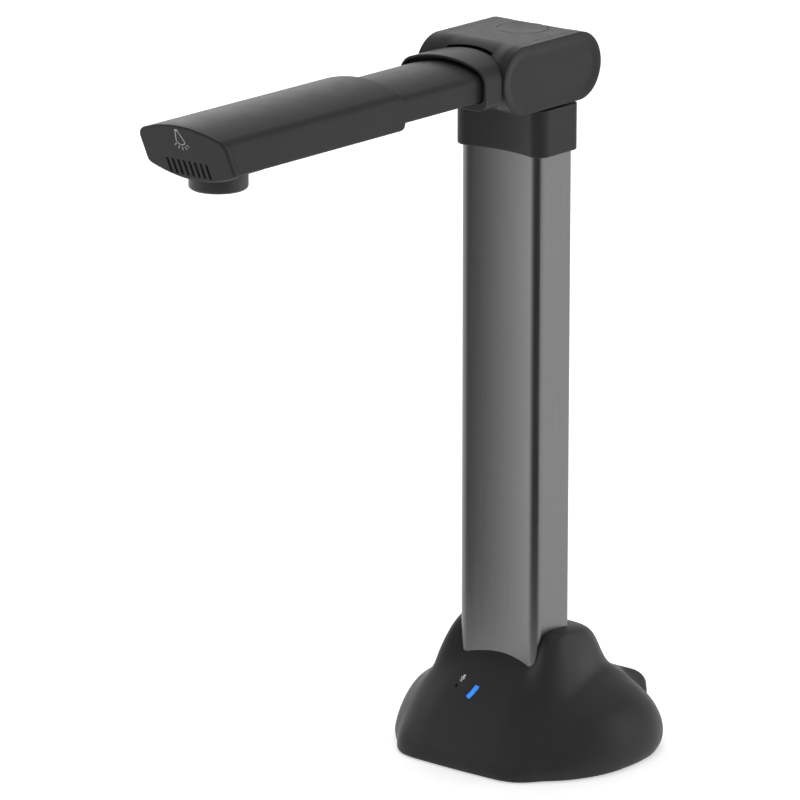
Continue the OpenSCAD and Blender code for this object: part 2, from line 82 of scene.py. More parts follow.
# ---------- outlines ----------
def outline(parts, arc_step=0.35, line_step=4.0):
    """Closed outline joined from arcs (cx, cy, radius, from, to) in degrees; a negative radius is hollow.
    Returns points and outward normals. Straight lines join the arcs and are divided every line_step."""
    pts, nrm = [], []
    for cx, cy, r, a0, a1 in parts:
        turn = abs(math.radians(a1 - a0))
        n = max(3, int(math.ceil(abs(r) * turn / arc_step)) + 1, int(turn / 0.16) + 1)
        a = np.radians(np.linspace(a0, a1, n))
        u = np.stack([np.cos(a), np.sin(a)], 1)
        arc = np.array([cx, cy]) + abs(r) * u
        if pts:
            gap = np.linalg.norm(arc[0] - pts[-1][-1])
            k = int(gap / line_step)
            if k:
                t = np.linspace(0, 1, k + 2)[1:-1, None]
                pts.append(pts[-1][-1] * (1 - t) + arc[0] * t)
                nrm.append(np.repeat(nrm[-1][-1:], k, 0))
        pts.append(arc)
        nrm.append(u * np.sign(r))
    p, n = np.concatenate(pts), np.concatenate(nrm)
    gap = np.linalg.norm(p[0] - p[-1])
    k = int(gap / line_step)
    if k:
        t = np.linspace(0, 1, k + 2)[1:-1, None]
        p = np.concatenate([p, p[-1] * (1 - t) + p[0] * t])
        n = np.concatenate([n, np.repeat(n[-1:], k, 0)])
    keep = np.linalg.norm(p - np.roll(p, 1, 0), axis=1) > 1e-4
    return p[keep], n[keep]


def bow(hw, zb, zc, za, crease=2.0, foot=1.2, sag=0.0, line_step=4.0):
    """Arm section in (x, z), mirrored about x = 0: bowed crown, upright sides, flat or bowed underside."""
    r = (hw * hw + (za - zc) ** 2) / (2 * (za - zc))
    c0 = za - r
    zf = c0 + math.sqrt((r - crease) ** 2 - (hw - crease) ** 2)
    tilt = math.degrees(math.atan2(hw - crease, zf - c0))
    top = [(hw - crease, zf, crease, 0, 90 - tilt), (0, c0, r, 90 - tilt, 90 + tilt),
           (-hw + crease, zf, crease, 90 + tilt, 180)]
    if sag <= 0.01:
        low = [(-hw + foot, zb + foot, foot, 180, 270), (hw - foot, zb + foot, foot, 270, 360)]
        return outline(top + low, line_step=line_step)
    rl = (hw * hw + sag * sag) / (2 * sag)
    cl = zb - sag + rl
    zf = cl - math.sqrt((rl - foot) ** 2 - (hw - foot) ** 2)
    dip = math.degrees(math.atan2(hw - foot, cl - zf))
    low = [(-hw + foot, zf, foot, 180, 270 - dip), (0, cl, rl, 270 - dip, 270 + dip),
           (hw - foot, zf, foot, 270 + dip, 360)]
    return outline(top + low, line_step=line_step)


def stadium(y_front, y_back, r, line_step=4.0):
    """Round-ended outline of the head and its caps in (y, z)."""
    return outline([(y_back, HINGE_Z, r, -90, 90), (y_front, HINGE_Z, r, 90, 270)], line_step=line_step)


def column_outline(grow=0.0, wide=0.0):
    """Column outline in (x, y) with its dished front face."""
    hx, hy, dish = col_hi[0] + wide, col_hi[1], 62.0 + wide
    r, rb = 4.0, 2.2
    cx, cy = hx - r, -hy + r
    yd = cy - math.sqrt((dish + r) ** 2 - cx * cx)
    turn = math.degrees(math.atan2(cx, cy - yd))
    bx, by = hx - rb, hy - rb
    return outline([(bx, by, rb + grow, 0, 90), (-bx, by, rb + grow, 90, 180),
                    (-cx, cy, r + grow, 180, 270 + turn), (0, yd, -(dish - grow), 90 + turn, 90 - turn),
                    (cx, cy, r + grow, 270 - turn, 360)], arc_step=0.5)


def rounded_rect(x0, y0, x1, y1, r):
    return outline([(x1 - r, y1 - r, r, 0, 90), (x0 + r, y1 - r, r, 90, 180),
                    (x0 + r, y0 + r, r, 180, 270), (x1 - r, y0 + r, r, 270, 360)], line_step=50)


def disc(cx, cy, r, n=96):
    a = np.linspace(0, 2 * math.pi, n, endpoint=False)
    u = np.stack([np.cos(a), np.sin(a)], 1)
    return np.array([cx, cy]) + r * u, u


# ---------- meshes ----------
def up(p, t):
    return np.column_stack([p, np.broadcast_to(t, len(p))])


def along_y(p, t):
    return np.column_stack([p[:, 0], np.broadcast_to(t, len(p)), p[:, 1]])


def along_x(p, t):
    return np.column_stack([np.broadcast_to(t, len(p)), p])


def mesh_object(name, verts, faces):
    """Object from points in millimetres, with doubled points merged and faces turned outward."""
    me = bpy.data.meshes.new(name)
    me.from_pydata((np.asarray(verts) * MM).tolist(), [], [list(map(int, f)) for f in faces])
    bm = bmesh.new()
    bm.from_mesh(me)
    bmesh.ops.remove_doubles(bm, verts=bm.verts, dist=2e-6)
    bmesh.ops.recalc_face_normals(bm, faces=bm.faces)
    bm.to_mesh(me)
    bm.free()
    o = bpy.data.objects.new(name, me)
    bpy.context.scene.collection.objects.link(o)
    return o


def grid_faces(k_rings, n, closed=True):
    """Quads between successive rows of n points."""
    i = np.arange(n if closed else n - 1)
    j = (i + 1) % n
    out = []
    for k in range(k_rings - 1):
        a = k * n
        out += np.stack([a + i, a + j, a + n + j, a + n + i], 1).tolist()
    return out


def loft(name, rings):
    """Solid through rings of equal point counts, closed by a flat face at each end."""
    n = len(rings[0])
    faces = grid_faces(len(rings), n)
    faces.append(list(range(n))[::-1])
    faces.append([(len(rings) - 1) * n + i for i in range(n)])
    return mesh_object(name, np.concatenate(rings), faces)


def fillet(r, seg=5):
    """(inset, advance) pairs of a quarter round, from the end face to the side, with holding loops."""
    a = np.linspace(0, math.pi / 2, seg + 1)
    pairs = [(r + 0.06, 0.0)] + [(r * (1 - math.sin(x)), r * (1 - math.cos(x))) for x in a]
    return pairs + [(0.0, r + 0.06)]


def prism(name, shape, place, t0, t1, r0=0.5, r1=0.5, seg=5):
    """Solid swept from t0 to t1, its end edges rounded by r0 and r1."""
    p, n = shape
    rings = [place(p - n * d, t0 + s) for d, s in fillet(r0, seg)]
    rings += [place(p - n * d, t1 - s) for d, s in reversed(fillet(r1, seg))]
    return loft(name, rings)


def ring_solid(name, rings):
    """Closed tube through rings of equal point counts, the last joined to the first."""
    n = len(rings[0])
    last = (len(rings) - 1) * n
    i = np.arange(n)
    j = (i + 1) % n
    faces = grid_faces(len(rings), n) + np.stack([last + i, last + j, j, i], 1).tolist()
    return mesh_object(name, np.concatenate(rings), faces)


def revolve(name, profile, centre, n=160):
    """Solid of revolution about a vertical axis. The profile is (r, z) pairs; r = 0 ends become poles."""
    a = np.linspace(0, 2 * math.pi, n, endpoint=False)
    rings = [np.column_stack([centre[0] + max(r, 0.002) * np.cos(a), centre[1] + max(r, 0.002) * np.sin(a),
                              np.full(n, z)]) for r, z in profile]
    if np.allclose(profile[0], profile[-1]):
        return ring_solid(name, rings[:-1])
    return loft(name, rings)


def cutter(name, shape, place, t0, t1, r=CUT):
    """Solid to be cut away, its edges barely rounded."""
    return prism(name, shape, place, t0, t1, r, r, 2)


def apply_cuts(o, cutters):
    """Cuts each solid out of o, then deletes it."""
    for c in cutters:
        m = o.modifiers.new("cut", "BOOLEAN")
        m.operation, m.object, m.solver = "DIFFERENCE", c, "EXACT"
        bpy.context.view_layer.update()
        me = bpy.data.meshes.new_from_object(o.evaluated_get(bpy.context.evaluated_depsgraph_get()))
        o.modifiers.clear()
        o.data = me
        bpy.data.objects.remove(c)
    return o


def finish_piece(o, slot, body, nodes=(), sharp=32, weighted=True, look=None):
    """Gives a piece its material (the look where one is given, else the slot's), smooth normals and body, and
    hides the CAD nodes it stands for.
    """
    me = o.data
    me.materials.clear()
    me.materials.append(MAT[look or slot])
    for f in me.polygons:
        f.material_index = 0
    me.shade_smooth()
    me.set_sharp_from_angle(angle=math.radians(sharp))
    if weighted:
        w = o.modifiers.new("normals", "WEIGHTED_NORMAL")
        w.keep_sharp, w.weight = True, 60
    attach(o, body)
    if nodes:
        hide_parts(*nodes)
    return o


# ---------- materials ----------
STREAK_MIX = 0.05, 0.03  # how far streaks and clouds shift a brushed metal's roughness


def nodes_of(name):
    """New material with its node tree and its Principled shader."""
    m = bpy.data.materials.new(name)
    m.use_nodes = True
    nt = m.node_tree
    return m, nt, nt.nodes["Principled BSDF"]


def link(nt, a, b):
    nt.links.new(a, b)


def add(nt, kind, **inputs):
    n = nt.nodes.new(kind)
    for k, v in inputs.items():
        n.inputs[k].default_value = v
    return n


def ramp(nt, fac, stops):
    r = nt.nodes.new("ShaderNodeValToRGB")
    r.color_ramp.elements[0].position, r.color_ramp.elements[0].color = stops[0]
    r.color_ramp.elements[1].position, r.color_ramp.elements[1].color = stops[-1]
    for pos, col in stops[1:-1]:
        r.color_ramp.elements.new(pos).color = col
    link(nt, fac, r.inputs["Fac"])
    return r.outputs["Color"]


def grey(v, tint=0.0):
    return (v * (1 - tint), v, v * (1 + tint), 1)


def remap(nt, value, lo, hi):
    """Value carried from the middle of a noise's range to lo...hi."""
    r = add(nt, "ShaderNodeMapRange")
    r.inputs["From Min"].default_value, r.inputs["From Max"].default_value = 0.3, 0.7
    r.inputs["To Min"].default_value, r.inputs["To Max"].default_value = lo, hi
    link(nt, value, r.inputs["Value"])
    return r.outputs["Result"]


def object_coords(nt):
    return nt.nodes.new("ShaderNodeTexCoord").outputs["Object"]


def noise(nt, scale, detail, roughness=0.5, vector=None):
    """Noise value, in object coordinates unless a vector is given."""
    n = add(nt, "ShaderNodeTexNoise", Scale=scale, Detail=detail, Roughness=roughness)
    link(nt, object_coords(nt) if vector is None else vector, n.inputs["Vector"])
    return n.outputs["Fac"]


def shade_by(nt, b, fac, dark, light, lo=0.3, hi=0.7):
    """Base colour going from dark to light as fac goes from lo to hi."""
    shade = ramp(nt, fac, [(lo, dark), (hi, light)])
    link(nt, shade, b.inputs["Base Color"])
    return shade


def gloss_by(nt, b, fac, lo, hi):
    link(nt, remap(nt, fac, lo, hi), b.inputs["Roughness"])


def bump_by(nt, b, fac, strength, distance, under=None):
    """Fine relief, over an earlier one where under is given."""
    bump = add(nt, "ShaderNodeBump", Strength=strength, Distance=distance)
    link(nt, fac, bump.inputs["Height"])
    if under is not None:
        link(nt, under, bump.inputs["Normal"])
    link(nt, bump.outputs["Normal"], b.inputs["Normal"])
    return bump.outputs["Normal"]


def moulded(name, tone, rough, grain=0.00003, grain_scale=2600.0, spec=0.5):
    """Moulded plastic: fine spark-eroded grain, faint flow clouds, slightly uneven gloss."""
    m, nt, b = nodes_of(name)
    shade_by(nt, b, noise(nt, 38.0, 4.0, 0.55), grey(tone * 0.95, 0.004), grey(tone * 1.06, 0.004))
    gloss_by(nt, b, noise(nt, 150.0, 5.0, 0.6), rough - 0.03, rough + 0.03)
    b.inputs["Specular IOR Level"].default_value = spec
    bump_by(nt, b, noise(nt, grain_scale, 4.0, 0.6), 0.35, grain)
    return m


def brushed(name, tone, rough, stretch=(900.0, 900.0, 9.0)):
    """Drawn and anodised metal: long streaks along the drawing direction."""
    m, nt, b = nodes_of(name)
    drawn = add(nt, "ShaderNodeMapping", Scale=stretch)
    link(nt, object_coords(nt), drawn.inputs["Vector"])
    streak = noise(nt, 2.2, 5.0, 0.62, drawn.outputs["Vector"])
    shade_by(nt, b, streak, grey(tone * 0.94, 0.01), grey(tone * 1.06, 0.01))
    mix = nt.nodes.new("ShaderNodeMath")
    mix.operation = "ADD"
    by_streak, by_cloud = STREAK_MIX
    link(nt, remap(nt, streak, rough - by_streak, rough + by_streak), mix.inputs[0])
    link(nt, remap(nt, noise(nt, 30.0, 3.0), -by_cloud, by_cloud), mix.inputs[1])
    link(nt, mix.outputs["Value"], b.inputs["Roughness"])
    b.inputs["Metallic"].default_value = 1.0
    beads = bump_by(nt, b, noise(nt, 5200.0, 2.0), 0.25, 0.00002)
    bump_by(nt, b, streak, 0.15, 0.00003, under=beads)
    return m


def rubbery(name, tone):
    m, nt, b = nodes_of(name)
    fine = noise(nt, 1500.0, 4.0)
    shade_by(nt, b, noise(nt, 60.0, 3.0), grey(tone * 0.8), grey(tone * 1.3))
    gloss_by(nt, b, fine, 0.75, 0.92)
    b.inputs["Specular IOR Level"].default_value = 0.3
    bump_by(nt, b, fine, 0.5, 0.00006)
    return m


def printed(name, tone):
    m, nt, b = nodes_of(name)
    fine = noise(nt, 3000.0, 3.0)
    shade_by(nt, b, fine, grey(tone * 0.86), grey(tone))
    gloss_by(nt, b, fine, 0.5, 0.62)
    return m


def board(name):
    m, nt, b = nodes_of(name)
    weave = noise(nt, 900.0, 3.0)
    shade_by(nt, b, weave, (0.004, 0.035, 0.012, 1), (0.006, 0.06, 0.02, 1), 0.35, 0.65)
    gloss_by(nt, b, weave, 0.25, 0.4)
    return m


def glass(name):
    m, nt, b = nodes_of(name)
    gloss_by(nt, b, noise(nt, 220.0, 4.0), 0.03, 0.09)
    b.inputs["Base Color"].default_value = (0.8, 0.84, 0.95, 1)
    b.inputs["Transmission Weight"].default_value = 1.0
    b.inputs["IOR"].default_value = 1.5
    return m


def glow(name, colour, strength):
    """Frosted lamp plastic that may shine."""
    m, nt, b = nodes_of(name)
    dim = tuple(c * 0.82 for c in colour[:3]) + (1,)
    link(nt, shade_by(nt, b, noise(nt, 700.0, 3.0), dim, colour), b.inputs["Emission Color"])
    b.inputs["Emission Strength"].default_value = strength
    b.inputs["Roughness"].default_value = 0.3
    return m


MAT = {
    "plastic_satin": moulded("plastic_satin", 0.031, 0.44, spec=0.15),
    "plastic_black": moulded("plastic_black", 0.022, 0.42, spec=0.18),
    "trim_black": moulded("trim_black", 0.004, 0.6, spec=0.2),
    "anodised_grey": brushed("anodised_grey", 0.185, 0.32),
    "rubber_black": rubbery("rubber_black", 0.012),
    "screw_steel": brushed("screw_steel", 0.5, 0.3, stretch=(500.0, 500.0, 500.0)),
    "plated_steel": brushed("plated_steel", 0.55, 0.32, stretch=(200.0, 900.0, 900.0)),
    "cast_weight": moulded("cast_weight", 0.12, 0.6, grain=0.0001, grain_scale=1200.0),
    "board_green": board("board_green"),
    "light_blue": glow("light_blue", (0.02, 0.22, 0.78, 1), 0.75),
    "cable_black": moulded("cable_black", 0.015, 0.55),
    "pad_nylon": moulded("pad_nylon", 0.5, 0.5),
    "chip_dark": moulded("chip_dark", 0.02, 0.3),
    "barrel_black": moulded("barrel_black", 0.008, 0.5, spec=0.3),
    "ring_black": moulded("ring_black", 0.04, 0.4, spec=0.3),
    "clear_glass": glass("clear_glass"),
    "diffuser_white": glow("diffuser_white", (0.8, 0.8, 0.76, 1), 0.0),
    "copper_foil": brushed("copper_foil", 0.5, 0.35),
    "print_grey": printed("print_grey", 0.4),
    "print_white": printed("print_white", 0.7),
}
for sub in frame["record"]["subparts"]:
    o = frame["nodes"][sub["node"]]
    o.data.materials.clear()
    o.data.materials.append(MAT[sub["material_slot"]])


# ---------- base: one skin over panel, cheeks, lobes and tail ----------
def curve_of(table, flat_ends=False):
    """Smooth table: cubic through (position, value) rows."""
    z, v = np.array(table, float).T
    d = np.diff(v) / np.diff(z)
    m = np.concatenate([[d[0]], (d[:-1] + d[1:]) / 2, [d[-1]]])
    m[1:-1][d[:-1] * d[1:] <= 0] = 0
    if flat_ends:
        m[0] = m[-1] = 0

    def f(x):
        x = np.clip(x, z[0], z[-1])
        i = np.clip(np.searchsorted(z, x) - 1, 0, len(z) - 2)
        h = z[i + 1] - z[i]
        t = (x - z[i]) / h
        return ((2 * t**3 - 3 * t**2 + 1) * v[i] + (t**3 - 2 * t**2 + t) * h * m[i]
                + (-2 * t**3 + 3 * t**2) * v[i + 1] + (t**3 - t**2) * h * m[i + 1])
    return f


def smooth_step(x, a, b):
    t = np.clip((x - a) / (b - a), 0, 1)
    return t * t * (3 - 2 * t)


def smooth_max(a, b, k):
    h = np.clip(0.5 + 0.5 * (a - b) / k, 0, 1)
    return a * h + b * (1 - h) + k * h * (1 - h)


def smooth_min(a, b, k):
    return -smooth_max(-a, -b, k)


RIM_Z = shell_lo[2] - 0.5
BASE_C = np.array([0.0, 11.0, RIM_Z])
FOOT = [(0, -42), (14, -42), (27, -41.8), (35.2, -38.4), (42.8, -33.2), (50, -27.3), (55.8, -19.3),
        (60.1, -10.4), (62.6, 0), (63.15, 10), (62.8, 21), (60.9, 32), (56.5, 42.3), (49, 51.5),
        (38.5, 59), (25, 64.5), (10, 67), (0, 67.3)]
foot_a = np.array([math.atan2(y - BASE_C[1], x) for x, y in FOOT])
foot_r = np.array([math.hypot(x, y - BASE_C[1]) for x, y in FOOT])
foot_line = curve_of(np.column_stack([foot_a, foot_r]), flat_ends=True)

# (height, size) rows: how far the lobes draw in from the foot, then the panel, cheeks, back and tail
inset_front = curve_of([(0.5, 0.9), (1.6, 0.1), (5, 0.2), (12.7, 3.6), (17, 6.4), (25, 12.5), (30, 18),
                        (33, 23), (35, 29), (37, 40), (38, 60)])
inset_side = curve_of([(0.5, 2.0), (2.2, 0.9), (6, 0.1), (9, 0.2), (12.7, 1.0), (17, 2.6), (21, 4.8),
                       (25, 7.6), (29, 12.5), (32, 18.5), (34.5, 26), (36.5, 36), (38, 60)])
inset_back = curve_of([(0.5, 2.4), (3, 0.9), (6, 0.1), (9, 0.0), (12.7, 0.6), (17, 2.4), (21, 5), (25, 9),
                       (28, 12.6), (31, 17.5), (34, 25), (36, 34), (38, 60)])
panel_mid = curve_of([(0, -41.6), (3, -41.4), (7, -40.8), (12.7, -39), (19, -35.8), (25, -32.4), (31, -28.1),
                      (36, -24), (41, -18.6), (46.3, -12.6), (49.3, -9.4), (52, -8.6), (66, -6)])
panel_side = curve_of([(0, -39), (3, -38), (12.7, -33), (19, -28.9), (25.6, -24.6), (31, -21.6),
                       (36.5, -18.9), (44, -17.4), (52.5, -13.9), (57.5, -11.1), (61, -7.4), (64, 1.0),
                       (67, 12)])
side_half = curve_of([(0, 36), (12, 35.7), (25, 36.4), (36.5, 37.4), (44, 36), (52.5, 33.4), (58, 31.4),
                      (62, 29.6), (67, 25.5)])
back_half = curve_of([(0, 34), (25, 30), (36, 28), (46, 26.4), (54, 25.4), (60, 24.2), (66, 20)])
back_line = curve_of([(0, 50), (12, 49.5), (25, 48.5), (32, 47.6), (37, 44), (43, 40.2), (50, 36.6),
                      (55, 32.6), (58, 28), (60, 22.5), (61.5, 16), (63, 6), (66, -14)])
tail_top = curve_of([(30, 33.6), (50, 32), (57, 29.6), (63, 27.3), (69, 24.6), (75, 21), (80, 17)])
LOBE_TOP, CROWN_TOP, CROWN_SLOPE = 37.6, 66.3, 0.15
TAIL_HW, TAIL_FRONT = 24.9, 32
PANEL_FOLD, BACK_FOLD, CROWN_FOLD, LOBE_FOLD = 8.5, 13.0, 5.0, 13
TAIL_CORNER, TAIL_BROW, TAIL_ROOT = 5.0, 4.0, 3.5


def base_field(x, y, z):
    """Negative inside the base, roughly in millimetres."""
    ax = np.abs(x)
    ang = np.arctan2(y - BASE_C[1], ax)
    deg = np.degrees(ang)
    to_front, to_back = smooth_step(-deg, 12, 50), smooth_step(deg, 2, 34)
    inset = inset_side(z) * (1 - to_front - to_back) + inset_front(z) * to_front + inset_back(z) * to_back
    lobes = np.hypot(x, y - BASE_C[1]) - foot_line(ang) + inset
    lobes = np.maximum(lobes, (z - LOBE_TOP) * 2)
    lobes = lobes / np.sqrt(1 + (0.9 * smooth_step(z, 22, 34)) ** 2)
    lobes = lobes + 3.0 * smooth_step(-y, 2, 24) * (1 - smooth_step(ax, 26, 38)) * smooth_step(z, 2, 8)
    half = side_half(z)
    s = ax / half
    low = np.clip(s, 0, 1.3) ** 2.2
    high = smooth_step(ax, 17.5, 29)
    share = low + (high - low) * smooth_step(z, 33, 47)
    front = (panel_mid(z) + (panel_side(z) - panel_mid(z)) * share - y) * 0.74
    t = smooth_step(y, -8, 44)
    sides = (ax - (half * (1 - t) + back_half(z) * t)) * 0.97
    back = (y - back_line(z)) * (1 - 0.35 * smooth_step(z, 56, 64))
    trunk = smooth_max(front, sides, PANEL_FOLD)
    trunk = smooth_max(trunk, back, BACK_FOLD)
    trunk = smooth_max(trunk, z - CROWN_TOP + CROWN_SLOPE * (y + 4), CROWN_FOLD)
    tail_back = y - shell_hi[1] + 0.35 + 0.012 * (z - 12) ** 2
    tail = smooth_max(ax - TAIL_HW + 0.05 * (z - 8), tail_back, TAIL_CORNER)
    tail = smooth_max(tail, (z - tail_top(y)) * 0.9, TAIL_BROW)
    tail = smooth_max(tail, TAIL_FRONT - y, 2.0)
    body = smooth_min(lobes, trunk, LOBE_FOLD - 3 * smooth_step(y, -10, 16))
    return smooth_min(body, tail, TAIL_ROOT)


def base_hit(origin, direction, reach=120.0, steps=44):
    """Distance along each ray at which it leaves the base, by halving."""
    lo = np.zeros(len(direction))
    hi = np.full(len(direction), reach)
    for _ in range(steps):
        mid = (lo + hi) / 2
        q = origin + direction * mid[:, None]
        inside = base_field(q[:, 0], q[:, 1], q[:, 2]) < 0
        lo, hi = np.where(inside, mid, lo), np.where(inside, hi, mid)
    return (lo + hi) / 2


EASE, EASE_PASSES = 0.25, 70


def base_shell():
    """Skin of the base as rays from its centre. The folds between cheeks and lobes are eased off."""
    n_a, n_e = 640, 190
    a = np.linspace(0, 2 * math.pi, n_a, endpoint=False)
    e = np.linspace(0, 1, n_e) ** 1.15 * math.radians(89.5)
    rays = [np.column_stack([math.cos(k) * np.cos(a), math.cos(k) * np.sin(a), np.full(n_a, math.sin(k))])
            for k in e]
    reach = np.array([base_hit(BASE_C, d) for d in rays])
    tilt = np.degrees(e)[:, None]
    ease = EASE * smooth_step(tilt, 5, 14) * (1 - smooth_step(tilt, 47, 60))
    ease = ease * (1 - smooth_step(np.abs(np.sin(a)), 0.82, 0.93))
    for _ in range(EASE_PASSES):
        around = np.roll(reach, 1, 1) + np.roll(reach, -1, 1)
        around[1:-1] += reach[2:] + reach[:-2]
        around[[0, -1]] += 2 * reach[[0, -1]]
        reach = reach + ease * (around - 4 * reach)
    rings = [BASE_C + d * r[:, None] for d, r in zip(rays, reach)]
    rim = rings[0]
    outward = (rim - BASE_C) * [1, 1, 0]
    outward /= np.linalg.norm(outward, axis=1)[:, None]
    inner = [rim - outward * 0.5, rim - outward * 2.6, rim - outward * 2.7 + [0, 0, 6.0]]
    return loft("base_cover", inner[::-1] + rings)


def skin_y(x, z):
    """Front of the base skin at (x, z)."""
    lo, hi = -60.0, 0.0
    for _ in range(40):
        mid = (lo + hi) / 2
        if base_field(np.array([x]), np.array([mid]), np.array([z]))[0] < 0:
            hi = mid
        else:
            lo = mid
    return hi


def facing(x, z):
    """Placement square to the base skin at (x, z): outlines run (across, up the slope), t outward."""
    y, e = skin_y(x, z), 0.8
    slope = [skin_y(x + e, z) - skin_y(x - e, z), skin_y(x, z + e) - skin_y(x, z - e)]
    n = np.array([slope[0] / (2 * e), -1.0, slope[1] / (2 * e)])
    n /= np.linalg.norm(n)
    u = np.cross([0, 0, 1.0], n)
    u /= np.linalg.norm(u)
    v = np.cross(n, u)
    return lambda p, t: np.array([x, y, z]) + p[:, :1] * u + p[:, 1:2] * v + np.reshape(t, (-1, 1)) * n


shell = base_shell()
MIC, MIC_R = (-13.6, 33.9), 0.8
LIGHT, LIGHT_LEAN, LIGHT_GAP = (-2.9, 33.2), -17, 0.12
PORT_HW, PORT_Z0, PORT_Z1, PORT_R = 6.3, 9.3, 16.3, 1.2


def band(radius, width, half_turn, r):
    """Curved strip about the origin of its own arc, rounded at both ends."""
    t = half_turn
    e = t - math.degrees(r / radius)
    r_in, r_out = radius - width / 2, radius + width / 2

    def at(rad, deg):
        return rad * math.cos(math.radians(deg)) - radius, rad * math.sin(math.radians(deg))

    corners = [at(r_out - r, e), at(r_in + r, e), at(r_in + r, -e), at(r_out - r, -e)]
    turns = [(t, t + 90), (t + 90, t + 180), (180 - t, 270 - t), (270 - t, 360 - t)]
    round_ends = [(x, y, r, a0, a1) for (x, y), (a0, a1) in zip(corners, turns)]
    inner, outer = (-radius, 0, -r_in, e, -e), (-radius, 0, r_out, -e, e)
    return outline(round_ends[:2] + [inner] + round_ends[2:] + [outer], arc_step=0.2, line_step=1.0)


def leaned(shape, deg):
    """Outline turned about its own origin."""
    p, n = shape
    c, s = math.cos(math.radians(deg)), math.sin(math.radians(deg))
    m = np.array([[c, s], [-s, c]])
    return p @ m, n @ m


strip = leaned(band(17.0, 2.7, 12.5, 0.6), LIGHT_LEAN)
light_at = facing(*LIGHT)
apply_cuts(shell, [
    cutter("c1", rounded_rect(-PORT_HW, PORT_Z0, PORT_HW, PORT_Z1, PORT_R), along_y, 64, 84),
    cutter("c2", disc(0, 0, MIC_R, 32), facing(*MIC), -2.5, 3),
    cutter("c3", (strip[0] + strip[1] * LIGHT_GAP, strip[1]), light_at, -1.2, 3, 0.02)])
finish_piece(shell, "plastic_satin", "base", ["base_shell"], sharp=48, weighted=False)
light = prism("status_light_skin", strip, light_at, -1.3, 0.12, 0.1, 0.3, 4)
finish_piece(light, "light_blue", "base", ["status_light"])


def stroke(x0, y0, x1, y1, w):
    """Round-ended line as an outline."""
    a = math.degrees(math.atan2(y1 - y0, x1 - x0))
    return outline([(x1, y1, w / 2, a - 90, a + 90), (x0, y0, w / 2, a + 90, a + 270)],
                   arc_step=0.12, line_step=0.5)


def ring_arc(cx, cy, r, w, a0, a1):
    """Round-ended arc as an outline."""
    e0 = (cx + r * math.cos(math.radians(a0)), cy + r * math.sin(math.radians(a0)))
    e1 = (cx + r * math.cos(math.radians(a1)), cy + r * math.sin(math.radians(a1)))
    return outline([(cx, cy, r + w / 2, a0, a1), (e1[0], e1[1], w / 2, a1, a1 + 180),
                    (cx, cy, -(r - w / 2), a1, a0), (e0[0], e0[1], w / 2, a0 + 180, a0 + 360)],
                   arc_step=0.12, line_step=0.5)


def print_mark(name, shapes, place, look, body, proud=0.05, deep=0.25):
    """Thin raised print, one piece a stroke."""
    for i, s in enumerate(shapes):
        o = prism(f"{name}_{i}", s, place, -deep, proud, 0.01, 0.02, 2)
        finish_piece(o, "diffuser_white", body, look=look)


# generic microphone mark printed above the hole: head, cradle, stem and foot
print_mark("mic_mark", [leaned(s, -12) for s in (
    stroke(0, 0.45, 0, 1.45, 1.25), ring_arc(0, 0.55, 1.15, 0.38, 190, 350),
    stroke(0, -0.8, 0, -1.4, 0.38), stroke(-0.75, -1.55, 0.75, -1.55, 0.36))],
    facing(-12.2, 37.0), "print_white", "base")

# ---------- underside of the base ----------
SCREWS = [(-46, -10), (46, -10), (-40, 36), (40, 36)]
SOLE_TOP, PLATE_TOP = 2.0, 5.0


def foot_ring(inset, n=320):
    """Base outline drawn inward, with its normals."""
    a = np.linspace(-math.pi, math.pi, n, endpoint=False)
    r = foot_line(np.arctan2(np.sin(a), np.abs(np.cos(a))))
    p = BASE_C[:2] + np.column_stack([r * np.cos(a), r * np.sin(a)])
    t = np.roll(p, -1, 0) - np.roll(p, 1, 0)
    nrm = np.column_stack([t[:, 1], -t[:, 0]])
    nrm /= np.linalg.norm(nrm, axis=1)[:, None]
    return p - nrm * inset, nrm


sole = prism("sole_skin", foot_ring(6.0), up, 0.0, SOLE_TOP, 0.5, 0.2)
outer, inner = foot_ring(9.0)[0], foot_ring(10.4)[0]
groove_cut = ring_solid("c1", [up(outer, -1), up(outer, 0.5), up(inner, 0.5), up(inner, -1)])
apply_cuts(sole, [groove_cut] + [cutter(f"c{n}", disc(x, y, 3.8, 64), up, -1, 3, 0.02)
                                 for n, (x, y) in enumerate(SCREWS)])
finish_piece(sole, "rubber_black", "base", ["rubber_sole"])

plate = prism("plate_skin", foot_ring(3.5), up, SOLE_TOP, PLATE_TOP, 0.3, 0.3)
apply_cuts(plate, [cutter(f"c{n}", disc(x, y, 3.5, 64), up, 1, 3.6, 0.02)
                   for n, (x, y) in enumerate(SCREWS)])
finish_piece(plate, "plastic_black", "base", ["base_plate"])


def screw(name, x, y, face, r, head, shank, length):
    """Pan head seen from below, with a cross recess."""
    prof = [(0, face), (r * 0.5, face + 0.02), (r * 0.8, face + head * 0.14), (r * 0.95, face + head * 0.35),
            (r, face + head * 0.62), (r, face + head * 0.9), (r - 0.1, face + head), (shank, face + head),
            (shank, face + length), (0, face + length + 0.2)]
    o = revolve(name, prof, (x, y), 72)
    cross = []
    for turn in (0, 1):
        hw, hl = r * 0.14, r * 0.55
        sx, sy = (hl, hw) if turn else (hw, hl)
        cross.append(prism(f"c{turn}", rounded_rect(x - sx, y - sy, x + sx, y + sy, hw * 0.4), up, face - 1,
                           face + head * 0.6, 0.02, 0.1, 2))
    return apply_cuts(o, cross)


def screw_set(name, places, face, r, head, shank, length, body, node):
    for i, (x, y) in enumerate(places):
        o = screw(f"{name}_{i}", x, y, face, r, head, shank, length)
        finish_piece(o, "screw_steel", body, [node] if i == 0 else [])  # the first stands for the set


screw_set("base_screw_skin", SCREWS, face=2.0, r=3.2, head=1.6, shank=1.4, length=8, body="base",
          node="base_screws")

